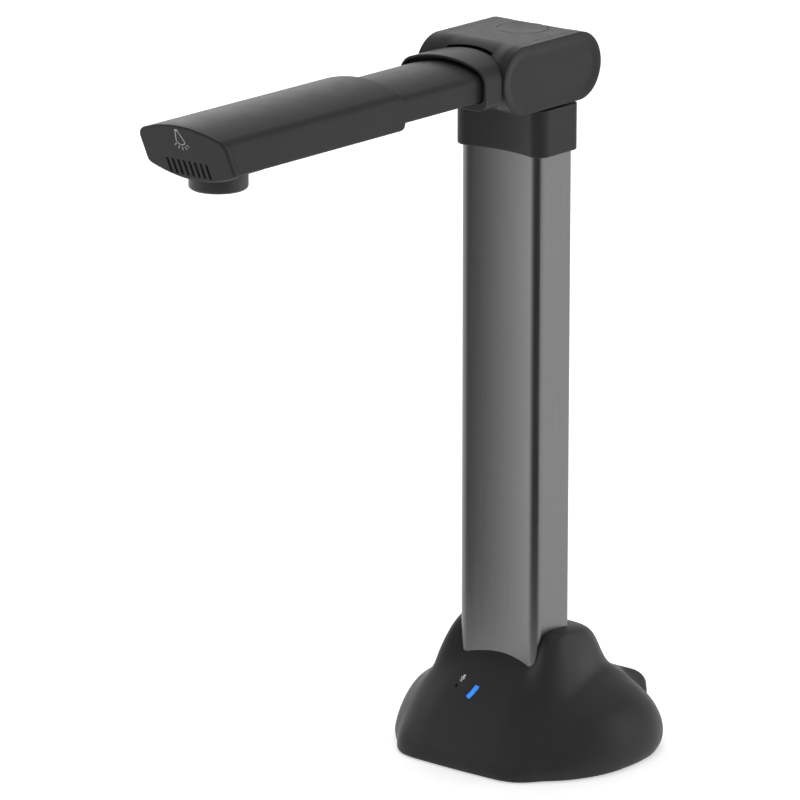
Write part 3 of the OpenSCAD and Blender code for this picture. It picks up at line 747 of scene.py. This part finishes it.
# ---------- column and collar ----------
column = prism("column_skin", column_outline(), up, col_lo[2], col_hi[2], 0.3, 0.3)
finish_piece(column, "anodised_grey", "base", ["column"])

COLLAR_LIP = collar_hi[1] - col_hi[1]
COLLAR_SIDE = collar_hi[0] - col_hi[0] - COLLAR_LIP
COLLAR_TOP = HINGE_Z - HEAD_R - 0.7
COLLAR_DROP = 11.3
collar = prism("collar_skin", column_outline(COLLAR_LIP, COLLAR_SIDE), up, col_hi[2] - COLLAR_DROP,
               COLLAR_TOP, 0.9, 0.4)
finish_piece(collar, "plastic_satin", "base", ["column_collar"])
step = prism("collar_step", rounded_rect(-20, -7, 20, 11, 2.0), up, COLLAR_TOP - 1.0, COLLAR_TOP + 0.85,
             0.1, 0.1)
finish_piece(step, "plastic_black", "base")

# ---------- hinge head ----------
ARM_ZA = sleeve_hi[2]
ARM_ZC = ARM_ZA - CROWN_SAG
SEAM = 0.03
CAP_DISH, CAP_EDGE = 0.75, 0.6
NOSE = HINGE_Y - HEAD_R - cap_lo[1]
SLOT_HW = 12.8
BUTTON_C = ((button_lo[0] + button_hi[0]) / 2, (button_lo[1] + button_hi[1]) / 2)
BUTTON_R, BUTTON_TOP, BUTTON_GAP = button_hi[0], button_hi[2], 0.07


def nose(x):
    """Forward flare of the housing, and of the knuckle behind it, out to the longer end caps."""
    return NOSE * smooth_step(np.abs(x), 13.4, HOUSE_HW - 0.6)


def house_skin():
    """Housing between the end caps, flared to meet them."""
    rings = []
    ends = [(SEAM + s, d) for d, s in fillet(0.14, 3)]
    steps = [(-HOUSE_HW + s, d) for s, d in ends]
    steps += [(x, 0) for x in np.linspace(-HOUSE_HW + 0.5, HOUSE_HW - 0.5, 61)]
    steps += [(HOUSE_HW - s, d) for s, d in reversed(ends)]
    for x, d in steps:
        flare = float(nose(x))
        p, n = stadium(HINGE_Y - flare, HEAD_BACK + 0.6 * flare / NOSE, HEAD_R, line_step=100)
        rings.append(along_x(p - n * d, x))
    return loft("head_skin", rings)


house = house_skin()
apply_cuts(house, [
    cutter("c1", bow(SLOT_HW + 0.5, 309, ARM_ZA - 0.55, ARM_ZA + 0.85, crease=0.5, foot=0.4), along_y,
           -43, HINGE_Y + 1),
    cutter("c2", rounded_rect(-25, 310, -14.6, HINGE_Z, 0.6), along_x, -SLOT_HW, SLOT_HW, 0.04),
    cutter("c3", disc(HINGE_Y, HINGE_Z, 13.4), along_x, -SLOT_HW + 0.01, SLOT_HW - 0.01),
    revolve("c4", [(0, BUTTON_TOP - 8), (BUTTON_R + BUTTON_GAP, BUTTON_TOP - 8),
                   (BUTTON_R + BUTTON_GAP, BUTTON_TOP + 2), (0, BUTTON_TOP + 2)], BUTTON_C)])
finish_piece(house, "plastic_satin", "base", ["head_housing"])


def end_cap(side):
    """Cap with a rounded rim and a dished face."""
    p, n = stadium(cap_lo[1] + HEAD_R, cap_hi[1] - HEAD_R, HEAD_R)
    x0 = HOUSE_HW + SEAM
    floor_x = CAP_X - CAP_DISH
    prof = [(6.0, x0 + 0.01), (0.2, x0), (0.06, x0 + 0.03), (0, x0 + 0.12), (0, x0 + 0.25), (0, CAP_X - 1.0)]
    prof += [(CAP_EDGE * (1 - math.cos(t)), CAP_X - CAP_EDGE * (1 - math.sin(t)))
             for t in np.linspace(0, math.pi / 2, 8)]
    prof += [(0.8, CAP_X), (1.2, CAP_X)]
    prof += [(d, CAP_X - CAP_DISH * float(smooth_step(np.array(d), 1.3, 6.2)))
             for d in np.linspace(1.5, 6.2, 18)]
    prof += [(7.0, floor_x), (9, floor_x + 0.04), (14.6, floor_x + 0.08)]
    rings = [along_x(p - n * d, side * x) for d, x in prof]
    name = "end_cap_right" if side > 0 else "end_cap_left"
    return finish_piece(loft(name + "_skin", rings), "plastic_satin", "base", [name], sharp=50)


for side in (-1, 1):
    end_cap(side)

top = BUTTON_TOP
button = revolve("button_skin", [
    (0, top - 5.2), (2, top - 5.2), (2, top - 2.4), (BUTTON_R, top - 2.4), (BUTTON_R, top - 0.5),
    (BUTTON_R - 0.08, top - 0.22), (BUTTON_R - 0.3, top - 0.04), (BUTTON_R - 0.6, top),
    (BUTTON_R - 1.6, top), (BUTTON_R - 2.2, top - 0.06), (BUTTON_R * 0.5, top - 0.16), (0, top - 0.2)],
    BUTTON_C)
finish_piece(button, "plastic_satin", "capture_button", ["capture_button"])

# ---------- arm knuckle, its black mouth and the bar ----------
SWING_GAP = 0.35
CLEAR_R = HEAD_R + SWING_GAP
NOSE_R = HINGE_Y - cap_lo[1] + SWING_GAP
MOUTH = knuckle_lo[1]
KNUCKLE_ZB = 320.6
kn_p, kn_n = bow(knuckle_hi[0], KNUCKLE_ZB, ARM_ZC, ARM_ZA, crease=9.0, foot=4.2, line_step=1.2)
MOUTH_C = np.array([0.0, 333.0])


def matched(p, q):
    """Point of outline q in the direction of each point of outline p, seen from the mouth's centre."""
    ang = np.arctan2(p[:, 1] - MOUTH_C[1], p[:, 0])
    qa = np.arctan2(q[:, 1] - MOUTH_C[1], q[:, 0])
    order = np.argsort(qa)
    return np.column_stack([np.interp(ang, qa[order], q[order, c], period=2 * math.pi) for c in (0, 1)])


MOUTH_WALL = 1.25
mouth_q = bow(knuckle_hi[0] - MOUTH_WALL, 324.3, ARM_ZC - 0.9, ARM_ZA - MOUTH_WALL, crease=7.2, foot=3.4,
              line_step=0.5)[0]
mouth_in = matched(kn_p, mouth_q)


def knuckle_skin():
    """Knuckle from inside its mouth, over the rounded lip, back to the curve that clears the head."""
    p, n = kn_p, kn_n
    k = len(p)
    reach = CLEAR_R + nose(p[:, 0])
    rise = np.clip(p[:, 1] - HINGE_Z, 0, CLEAR_R - 0.01)
    back = HINGE_Y - np.sqrt(reach**2 - rise**2)
    back = np.where(p[:, 1] < HINGE_Z + 4, HINGE_Y - np.sqrt(NOSE_R**2 - rise**2), back)
    out = p - mouth_in
    out /= np.linalg.norm(out, axis=1)[:, None]
    rings = [along_y(mouth_in, MOUTH + 3.4), along_y(mouth_in, MOUTH + 0.35)]
    rings += [along_y(mouth_in + out * 0.3 * (1 - math.cos(t)), MOUTH + 0.3 * (1 - math.sin(t)))
              for t in np.linspace(0.2, math.pi / 2, 4)]
    rings += [along_y(p - n * d, MOUTH + s) for d, s in fillet(0.5, 6)[1:]]
    rings += [along_y(p, MOUTH + 0.7 + (back - MOUTH - 1.2) * f) for f in (0.25, 0.5, 0.75)]
    rings += [along_y(p - n * d, back - s) for d, s in reversed(fillet(0.35, 4)[1:])]
    faces = grid_faces(len(rings), k)
    faces.append(list(range(k))[::-1])
    last = (len(rings) - 1) * k  # the curved back is closed by strips between mirrored points
    gap = np.hypot(p[None, :, 0] + p[:, None, 0], p[None, :, 1] - p[:, None, 1])
    twin = gap.argmin(1)
    for a in range(k):
        b = (a + 1) % k
        if p[a, 0] > -1e-4 and p[b, 0] > -1e-4:
            quad = list(dict.fromkeys([last + a, last + b, last + twin[b], last + twin[a]]))
            if len(quad) >= 3:
                faces.append(quad)
    return mesh_object("knuckle_skin", np.concatenate(rings), faces)


finish_piece(knuckle_skin(), "plastic_satin", "arm", ["arm_knuckle"], sharp=40)
TONGUE_HW, TONGUE_R, TONGUE_Y = 10.8, 12.6, -45.2
tongue_line = outline([(HINGE_Y, HINGE_Z, TONGUE_R, -134, 123.6), (TONGUE_Y, HINGE_Z + 10.0, 0.4, 90, 180),
                       (TONGUE_Y, HINGE_Z - 8.6, 0.4, 180, 270)])
tongue = prism("tongue_skin", tongue_line, along_x, -TONGUE_HW, TONGUE_HW, 0.4, 0.4)
finish_piece(tongue, "plastic_satin", "arm")

BAR_ZC = bar_hi[2] - 4.81
BAR_ZB = bar_lo[2] - 0.9
BAR_STEP_Y = -126.0


def bar_skin():
    """Bar with its underside stepped up where it runs over the cover inside the sleeve."""
    p, n = bow(bar_hi[0], BAR_ZB, BAR_ZC, bar_hi[2], crease=5.0, foot=1.6)
    inner = np.column_stack([p[:, 0], np.maximum(p[:, 1], BAR_ZB + 0.6)])
    y0, y1 = bar_lo[1], bar_hi[1] - 4
    rings = [along_y(inner - n * d, y0 + t) for d, t in fillet(0.5, 4)]
    rings += [along_y(inner, BAR_STEP_Y - 1.0), along_y(p, BAR_STEP_Y), along_y(p, -85.0)]
    rings += [along_y(p - n * d, y1 - t) for d, t in reversed(fillet(0.5, 4))]
    return loft("bar_skin", rings)


finish_piece(bar_skin(), "plastic_satin", "arm", ["arm_bar"])


def mouth_trim():
    """Black annulus between the knuckle wall and the bar."""
    q = bow(bar_hi[0] + 0.12, BAR_ZB - 0.05, BAR_ZC + 0.1, bar_hi[2] + 0.12, crease=5.0, foot=1.6,
            line_step=0.5)[0]
    r_in, r_out = matched(kn_p, q), mouth_in
    y0, y1 = MOUTH + 2.2, MOUTH + 4
    rings = [along_y(r_in, y1), along_y(r_in, y0 + 0.3)]
    rings += [along_y(r_in + (r_out - r_in) * f, y0 + s) for f, s in ((0.12, 0.1), (0.3, 0), (0.8, 0))]
    rings += [along_y(r_out, y0 + 0.3), along_y(r_out, y1)]
    return ring_solid("mouth_trim_skin", rings)


finish_piece(mouth_trim(), "trim_black", "arm", ["mouth_trim"])

# ---------- camera sleeve ----------
SL_HW, SL_ZB = sleeve_hi[0], sleeve_lo[2]
FACE_Y = face_lo[1]
FACE_T = 3.0 / math.cos(LEAN)  # thickness of the front cap along Y


def face_y(z, depth=0.0):
    """Y of the leaning front at height z, or depth behind it."""
    return FACE_Y + (ARM_ZA - z) * math.tan(LEAN) + depth


LEAN_M = Matrix.Translation(Vector((0, FACE_Y * MM, ARM_ZA * MM))) @ Matrix.Rotation(LEAN, 4, "X")


def on_face(o):
    """Moves a mesh built in face coordinates (x, depth, up the slope) onto the leaning front."""
    o.data.transform(LEAN_M)
    return o


REAR_RAKE, REAR_ROUND = 0.13, 4.2  # slant of the sleeve's rear end, and its rounding at the bottom


def sleeve_skin():
    """Sleeve from its raked rear end to the leaning front."""
    p, n = bow(SL_HW, SL_ZB, ARM_ZC, ARM_ZA, crease=5.5, foot=1.6, line_step=1.5)
    round_off = np.clip(REAR_ROUND - (p[:, 1] - SL_ZB), 0, REAR_ROUND)
    rear = sleeve_hi[1] + REAR_RAKE * np.clip(ARM_ZC - p[:, 1], 0, 99)
    rear -= REAR_ROUND - np.sqrt(REAR_ROUND**2 - round_off**2)
    front = face_y(p[:, 1], FACE_T + 0.04)
    rings = [along_y(p - n * d, rear - s) for d, s in fillet(0.12, 3)]
    rings += [along_y(p, rear - 1.4 + (front - rear + 2) * f) for f in (0.33, 0.66)]
    rings += [along_y(p - n * d, front + s) for d, s in reversed(fillet(0.08, 3))]
    return loft("sleeve_skin", rings)


sleeve = sleeve_skin()
COVER_HW, COVER_FRONT, COVER_BACK, COVER_LEN, COVER_GAP = 22.6, -226.0, -170.2, 51.9, 0.15


def vent_pocket():
    """Hollow behind the vent slots, so that they look dark."""
    return on_face(cutter("c", rounded_rect(-15.5, -27.4, 15.5, -16.6, 1.0), along_y, 2.6, 11))


apply_cuts(sleeve, [
    cutter("c1", bow(22.6, 324.3, ARM_ZA - 7.3, ARM_ZA - SLEEVE_WALL, crease=2.8, foot=1.4), along_y,
           -184, -100),
    cutter("c2", rounded_rect(-COVER_HW - COVER_GAP, COVER_FRONT - 10, COVER_HW + COVER_GAP,
                              COVER_BACK + COVER_GAP, 1.5), up, 315.0, SL_ZB + 2.35),
    vent_pocket()])
finish_piece(sleeve, "plastic_satin", "camera_head", ["camera_sleeve"])


def front_cap():
    """Cap that closes the front, with the belly's sag under it."""
    p, n = bow(SL_HW, SL_ZB, ARM_ZC, ARM_ZA, crease=5.5, foot=3.0, sag=SL_ZB - face_lo[2])
    rings = []
    for d, s in fillet(1.2, 8):
        q = p - n * d
        rings.append(along_y(q, face_y(q[:, 1]) + s))
    for d, s in reversed(fillet(0.08, 3)):
        q = p - n * d
        rings.append(along_y(q, face_y(q[:, 1], FACE_T) - s))
    return loft("front_cap_skin", rings)


cap = front_cap()
VENTS, VENT_PITCH, VENT_W, VENT_SHIFT, VENT_LOW, VENT_HIGH = 8, 3.2, 1.4, -1.2, -26.1, -19.2
vent_x = [(i - (VENTS - 1) / 2) * VENT_PITCH + VENT_SHIFT for i in range(VENTS)]
apply_cuts(cap, [on_face(cutter(f"v{i}", stroke(x, VENT_LOW, x, VENT_HIGH, VENT_W), along_y, -3.0, 6.5, 0.02))
                 for i, x in enumerate(vent_x)])
finish_piece(cap, "plastic_satin", "camera_head", ["front_cap"])

# generic lamp mark on the front: a cone with short rays under it
MARK_W, RAY_Y = 0.42, -6.9
lamp_mark = [stroke(-1.0, -1.9, -0.1, -1.9, 0.9), stroke(-1.15, -2.3, -2.3, -7.4, MARK_W),
             stroke(0.15, -2.3, 2.3, -7.4, MARK_W), ring_arc(0, -6.6, 2.45, MARK_W, 205, 335)]
for a in (215, 242, 270, 298, 325):
    c, s = math.cos(math.radians(a)), math.sin(math.radians(a))
    lamp_mark.append(stroke(3.4 * c, RAY_Y + 3.4 * s, 4.6 * c, RAY_Y + 4.6 * s, MARK_W))


def face_place(p, t):
    m = np.array(LEAN_M.to_3x3())
    local = np.column_stack([p[:, 0], np.broadcast_to(-t, len(p)), p[:, 1]])
    return local @ m.T + np.array([0, FACE_Y, ARM_ZA])


MARK_SCALE, MARK_SHIFT = 1.06, [0.7, 0.4]
print_mark("lamp_mark", [(p * MARK_SCALE - MARK_SHIFT, n) for p, n in lamp_mark], face_place, "print_grey",
           "camera_head", proud=0.04)

# ---------- underside of the camera head ----------
BELLY_Z, LENS_Y = face_lo[2], (ring_lo[1] + ring_hi[1]) / 2


def bottom_cover():
    """Flat rear part flush with the sleeve, running into the belly that carries the lens."""
    u = np.linspace(-1, 1, 49)
    edge = 0.35
    x = COVER_HW * u
    fall = 1 - (np.abs(u)) ** 2.2
    stations = [0, 0.4, 4, 8, 12, 16, 20, 22] + list(np.linspace(24, 34, 14)) + [40, 48, 51.6, COVER_LEN]
    rings = []
    for k, s in enumerate(stations):
        sag = (SL_ZB - BELLY_Z) * (1 - smooth_step(np.array(s), 21.0, 33.0))
        z = SL_ZB - sag * fall
        z[[0, -1]] += edge
        if k in (0, len(stations) - 1):
            z = z + 0.3
        lean = face_y(z, FACE_T + 0.12) + s
        lean_top = np.full(len(u), face_y(SL_ZB + 2.2, FACE_T + 0.12)) + s
        w = smooth_step(np.array(s), 24, 50)
        y = lean * (1 - w) + (COVER_BACK - COVER_LEN + s) * w
        yt = lean_top * (1 - w) + (COVER_BACK - COVER_LEN + s) * w
        low = np.column_stack([x, y, z])
        top_row = np.column_stack([x[::-1], yt, np.full(len(u), SL_ZB + 2.2)])
        rings.append(np.concatenate([low, top_row]))
    return loft("bottom_cover_skin", rings)


cover = bottom_cover()
COVER_SCREWS = [(-19, -213.5), (19, -213.5), (-19, -184), (19, -184)]
(lx0, ly0, lz0), (lx1, ly1, lz1) = box_mm("lamp_lens")
apply_cuts(cover, [
    cutter("c1", rounded_rect(lx0 - COVER_GAP, ly0 - COVER_GAP, lx1 + COVER_GAP, ly1 + COVER_GAP, 1.0), up,
           312, 326), vent_pocket()]
    + [cutter(f"c{n}", disc(x, y, 2.3, 48), up, 312, SL_ZB + 1.3) for n, (x, y) in enumerate(COVER_SCREWS)])
finish_piece(cover, "plastic_satin", "camera_head", ["bottom_cover"], sharp=45)
screw_set("cover_screw_skin", COVER_SCREWS, face=SL_ZB + 0.2, r=2.0, head=1.0, shank=1.1, length=3,
          body="camera_head", node="cover_screws")

LENS = (0, LENS_Y)
r = ring_hi[0]
z0 = ring_lo[2]
lens_ring = revolve("lens_ring_skin", [
    (9.0, z0 + 3.6), (9.0, z0 + 0.9), (9.1, z0 + 0.55), (9.4, z0 + 0.35), (10.2, z0 + 0.12), (10.6, z0),
    (11.6, z0), (12.0, z0 + 0.06), (12.5, z0 + 0.35), (12.95, z0 + 0.8), (13.15, z0 + 1.15), (r, z0 + 1.5),
    (r, z0 + 4.4), (r, SL_ZB - 0.4), (9.0, SL_ZB - 0.4), (9.0, z0 + 3.6)], LENS, 192)
finish_piece(lens_ring, "ring_black", "camera_head", ["lens_ring"])
wz = box_mm("lens_window")[0][2]
glass_disc = revolve("lens_window_skin", [
    (0, wz), (8.3, wz), (8.6, wz + 0.08), (8.8, wz + 0.3), (8.8, wz + 1.0), (8.6, wz + 1.2), (0, wz + 1.2)],
    LENS, 128)
finish_piece(glass_disc, "clear_glass", "camera_head", ["lens_window"])
bz = box_mm("lens_barrel")[0][2]
barrel = revolve("lens_barrel_skin", [
    (11.0, bz + 8), (11.0, bz + 0.2), (10.8, bz), (9.0, bz), (8.7, bz + 0.25), (8.6, bz + 0.6),
    (7.9, bz + 1.1), (7.6, bz + 1.9), (6.9, bz + 2.1), (6.6, bz + 2.9), (6.2, bz + 3.1), (6.0, bz + 8),
    (11.0, bz + 8)], LENS, 128)
finish_piece(barrel, "barrel_black", "camera_head", ["lens_barrel"])
dome = [(6.1 * math.sin(t), bz + 4.6 - 1.6 * math.cos(t)) for t in np.linspace(0, 1.5, 12)]
eye = revolve("lens_eye", dome + [(6.1, bz + 6.5), (0, bz + 6.6)], LENS, 96)
finish_piece(eye, "clear_glass", "camera_head")
pupil = revolve("lens_iris", [
    (0, bz + 6.8), (2.4, bz + 6.8), (2.6, bz + 6.9), (6.0, bz + 7.0), (6.0, bz + 7.8), (0, bz + 7.9)],
    LENS, 96)
finish_piece(pupil, "chip_dark", "camera_head")

lamp = prism("lamp_lens_skin", rounded_rect(lx0, ly0, lx1, ly1, 0.9), up, lz0, lz1, 0.3, 0.2)
finish_piece(lamp, "diffuser_white", "camera_head", ["lamp_lens"])


# ---------- stage, light and camera ----------
def shaded_wing(name, shades, near, far, height):
    """Graded card round the front of the part, seen only in reflections; shades are (azimuth, brightness).
    It lies on the floor and turns up at its far edge."""
    az = np.linspace(shades[0][0], shades[-1][0], 49)
    a = np.radians(az)
    around = np.column_stack([np.sin(a), -np.cos(a), 0 * a])
    rows = [around * near, around * far, around * far + [0, 0, height]]
    me = bpy.data.meshes.new(name)
    me.from_pydata((np.concatenate(rows) + [0, 0, 0.0008]).tolist(), [], grid_faces(3, len(a), closed=False))
    level = np.interp(az, [r[0] for r in shades], [r[1] for r in shades])
    shade = me.attributes.new("shade", "FLOAT", "POINT")
    shade.data.foreach_set("value", np.tile(level, 3).astype(np.float32))
    o = bpy.data.objects.new(name, me)
    bpy.context.scene.collection.objects.link(o)
    m, nt, b = nodes_of(name)
    b.inputs["Base Color"].default_value = (0.0, 0.0, 0.0, 1)
    b.inputs["Roughness"].default_value = 1.0
    b.inputs["Specular IOR Level"].default_value = 0.0
    b.inputs["Emission Color"].default_value = (1, 1, 1, 1)
    read = nt.nodes.new("ShaderNodeAttribute")
    read.attribute_name = "shade"
    link(nt, read.outputs["Fac"], b.inputs["Emission Strength"])
    me.materials.append(m)
    o.visible_camera = o.visible_diffuse = o.visible_shadow = o.visible_transmission = False


AIM = Vector((0, -0.02, 0.17))


def area(name, place, width, height, power):
    """Area light turned towards the middle of the part."""
    light = bpy.data.lights.new(name, "AREA")
    light.shape = "RECTANGLE"
    light.size, light.size_y, light.energy = width, height, power
    o = bpy.data.objects.new(name, light)
    o.location = place
    o.rotation_euler = (Vector(place) - AIM).to_track_quat("Z", "Y").to_euler()
    bpy.context.scene.collection.objects.link(o)
    o.visible_camera = False


def floor():
    size = 12.0
    me = bpy.data.meshes.new("floor")
    corners = [(-size, -size, 0), (size, -size, 0), (size, size, 0), (-size, size, 0)]
    me.from_pydata(corners, [], [(0, 1, 2, 3)])
    o = bpy.data.objects.new("floor", me)
    bpy.context.scene.collection.objects.link(o)
    m, nt, b = nodes_of("floor_paper")
    shade_by(nt, b, noise(nt, 90.0, 3.0), grey(0.9), grey(0.92))
    b.inputs["Roughness"].default_value = 0.95
    b.inputs["Specular IOR Level"].default_value = 0.1
    b.inputs["Emission Color"].default_value = (1, 1, 1, 1)
    b.inputs["Emission Strength"].default_value = 0.5
    me.materials.append(m)


floor()
scene = bpy.context.scene
world = bpy.data.worlds.new("studio")
scene.world = world
world.use_nodes = True
wt = world.node_tree
sky = wt.nodes["Background"]
wco = wt.nodes.new("ShaderNodeTexCoord").outputs["Generated"]
sep = wt.nodes.new("ShaderNodeSeparateXYZ")
link(wt, wco, sep.inputs["Vector"])
sky_tones = ramp(wt, sep.outputs["Z"], [(0.0, grey(0.85)), (0.3, grey(0.46)), (0.9, grey(0.4))])
link(wt, sky_tones, sky.inputs["Color"])
sky.inputs["Strength"].default_value = 1.0

area("key_left", (-1.4, 0.6, 1.0), 1.2, 1.2, power=5)
area("rim_back_left", (-1.55, 1.45, 0.95), 1.2, 1.0, power=3.7)
area("rim_back_right", (1.1, 1.2, 0.7), 0.8, 1.0, power=4)
area("top", (-0.1, 0.35, 1.7), 0.9, 0.9, power=6)
shaded_wing("graded_card", near=0.17, far=2.4, height=1.6, shades=[
    (-95, 1.45), (-76, 1.35), (-40, 0.82), (-8, 0.2), (4, 0.12), (66, 0.12), (80, 0.42)])

VIEW_AZ, VIEW_EL = math.radians(39.6), math.radians(15.7)
back = Vector((math.sin(VIEW_AZ) * math.cos(VIEW_EL), -math.cos(VIEW_AZ) * math.cos(VIEW_EL),
               math.sin(VIEW_EL)))
cam_data = bpy.data.cameras.new("camera")
cam = bpy.data.objects.new("camera", cam_data)
scene.collection.objects.link(cam)
cam.location = (1.77354, -2.22848, 0.97048)
cam.rotation_euler = back.to_track_quat("Z", "Y").to_euler()
cam_data.sensor_width = 36.0
cam_data.lens = 285.6
cam_data.shift_x = 1 / 800
cam_data.clip_end = 60
scene.camera = cam
scene.view_settings.view_transform = "Standard"
scene.view_settings.look = "None"
